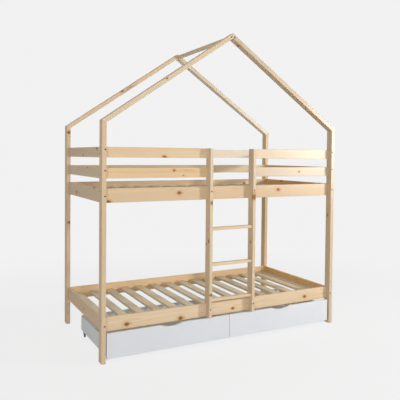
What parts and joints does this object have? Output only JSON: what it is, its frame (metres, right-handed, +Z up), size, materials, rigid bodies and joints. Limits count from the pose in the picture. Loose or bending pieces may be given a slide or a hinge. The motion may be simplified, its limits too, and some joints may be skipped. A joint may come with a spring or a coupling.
{
  "type": "house bunk bed",
  "caption": "Pine bunk bed with a house-shaped roof frame, slatted bases, guard rails, a front ladder and white under-bed drawers that roll out on castors.",
  "frame": {"origin": "on the floor, in the middle of the four posts", "axes": "+X to the right along the bed, +Y to the rear, +Z up; the ladder and drawers face -Y"},
  "size_m": [2.074, 1.033, 2.3835],
  "materials": {
    "pine": "clear matt lacquer",
    "white_board": "matt white",
    "zinc_steel": "zinc plated",
    "beech": "fluted, raw",
    "dark_plastic": "moulded",
    "wheel_plastic": "moulded"
  },
  "bodies": {
    "bed_frame": {"post_front_left": "pine", "post_front_right": "pine", "post_rear_left": "pine", "post_rear_right": "pine", "rafter_front_left": "pine", "rafter_front_right": "pine", "rafter_rear_left": "pine", "rafter_rear_right": "pine", "ridge_bar": "pine", "upper_front_rail": "pine", "upper_rear_rail": "pine", "lower_front_rail": "pine", "lower_rear_rail": "pine", "upper_left_end_rail": "pine", "upper_right_end_rail": "pine", "lower_left_end_rail": "pine", "lower_right_end_rail": "pine", "left_end_guard_top": "pine", "left_end_guard_mid": "pine", "right_end_guard_top": "pine", "right_end_guard_mid": "pine", "rear_guard_top": "pine", "rear_guard_mid": "pine", "front_left_guard_top": "pine", "front_left_guard_mid": "pine", "front_right_guard_top": "pine", "front_right_guard_mid": "pine", "ladder_upright_left": "pine", "ladder_upright_right": "pine", "rung_low": "pine", "rung_middle": "pine", "rung_high": "pine", "upper_ledgers": "pine", "lower_ledgers": "pine", "upper_slats": "pine", "lower_slats": "pine", "short_bolts": "zinc_steel", "long_bolts": "zinc_steel", "barrel_nuts": "zinc_steel", "ladder_screws": "zinc_steel", "wood_dowels": "beech", "slat_screws": "zinc_steel"},
    "left_drawer": {"left_drawer_front": "white_board", "left_drawer_left_side": "white_board", "left_drawer_right_side": "white_board", "left_drawer_back": "white_board", "left_drawer_bottom": "white_board", "left_drawer_castor_housings": "dark_plastic", "left_drawer_castor_pins": "zinc_steel"},
    "left_drawer_front_wheels": {"left_drawer_front_wheels": "wheel_plastic"},
    "left_drawer_rear_wheels": {"left_drawer_rear_wheels": "wheel_plastic"},
    "right_drawer": {"right_drawer_front": "white_board", "right_drawer_left_side": "white_board", "right_drawer_right_side": "white_board", "right_drawer_back": "white_board", "right_drawer_bottom": "white_board", "right_drawer_castor_housings": "dark_plastic", "right_drawer_castor_pins": "zinc_steel"},
    "right_drawer_front_wheels": {"right_drawer_front_wheels": "wheel_plastic"},
    "right_drawer_rear_wheels": {"right_drawer_rear_wheels": "wheel_plastic"}
  },
  "joints": [
    {"name": "left_drawer_slide", "type": "slide", "parent": "bed_frame", "child": "left_drawer", "axis": [0, -1, 0], "range_m": [0, 0.6]},
    {"name": "left_drawer_front_wheels_roll", "type": "hinge", "parent": "left_drawer", "child": "left_drawer_front_wheels", "pos_m": [-0.4975, -0.412, 0.016], "axis": [1, 0, 0], "continuous": true},
    {"name": "left_drawer_rear_wheels_roll", "type": "hinge", "parent": "left_drawer", "child": "left_drawer_rear_wheels", "pos_m": [-0.4975, 0.074, 0.016], "axis": [1, 0, 0], "continuous": true},
    {"name": "right_drawer_slide", "type": "slide", "parent": "bed_frame", "child": "right_drawer", "axis": [0, -1, 0], "range_m": [0, 0.6]},
    {"name": "right_drawer_front_wheels_roll", "type": "hinge", "parent": "right_drawer", "child": "right_drawer_front_wheels", "pos_m": [0.4975, -0.412, 0.016], "axis": [1, 0, 0], "continuous": true},
    {"name": "right_drawer_rear_wheels_roll", "type": "hinge", "parent": "right_drawer", "child": "right_drawer_rear_wheels", "pos_m": [0.4975, 0.074, 0.016], "axis": [1, 0, 0], "continuous": true}
  ],
  "couplings": [
    {"joint": "left_drawer_front_wheels_roll", "follows": "left_drawer_slide", "rad_per_m": 62.5},
    {"joint": "left_drawer_rear_wheels_roll", "follows": "left_drawer_slide", "rad_per_m": 62.5},
    {"joint": "right_drawer_front_wheels_roll", "follows": "right_drawer_slide", "rad_per_m": 62.5},
    {"joint": "right_drawer_rear_wheels_roll", "follows": "right_drawer_slide", "rad_per_m": 62.5}
  ]
}
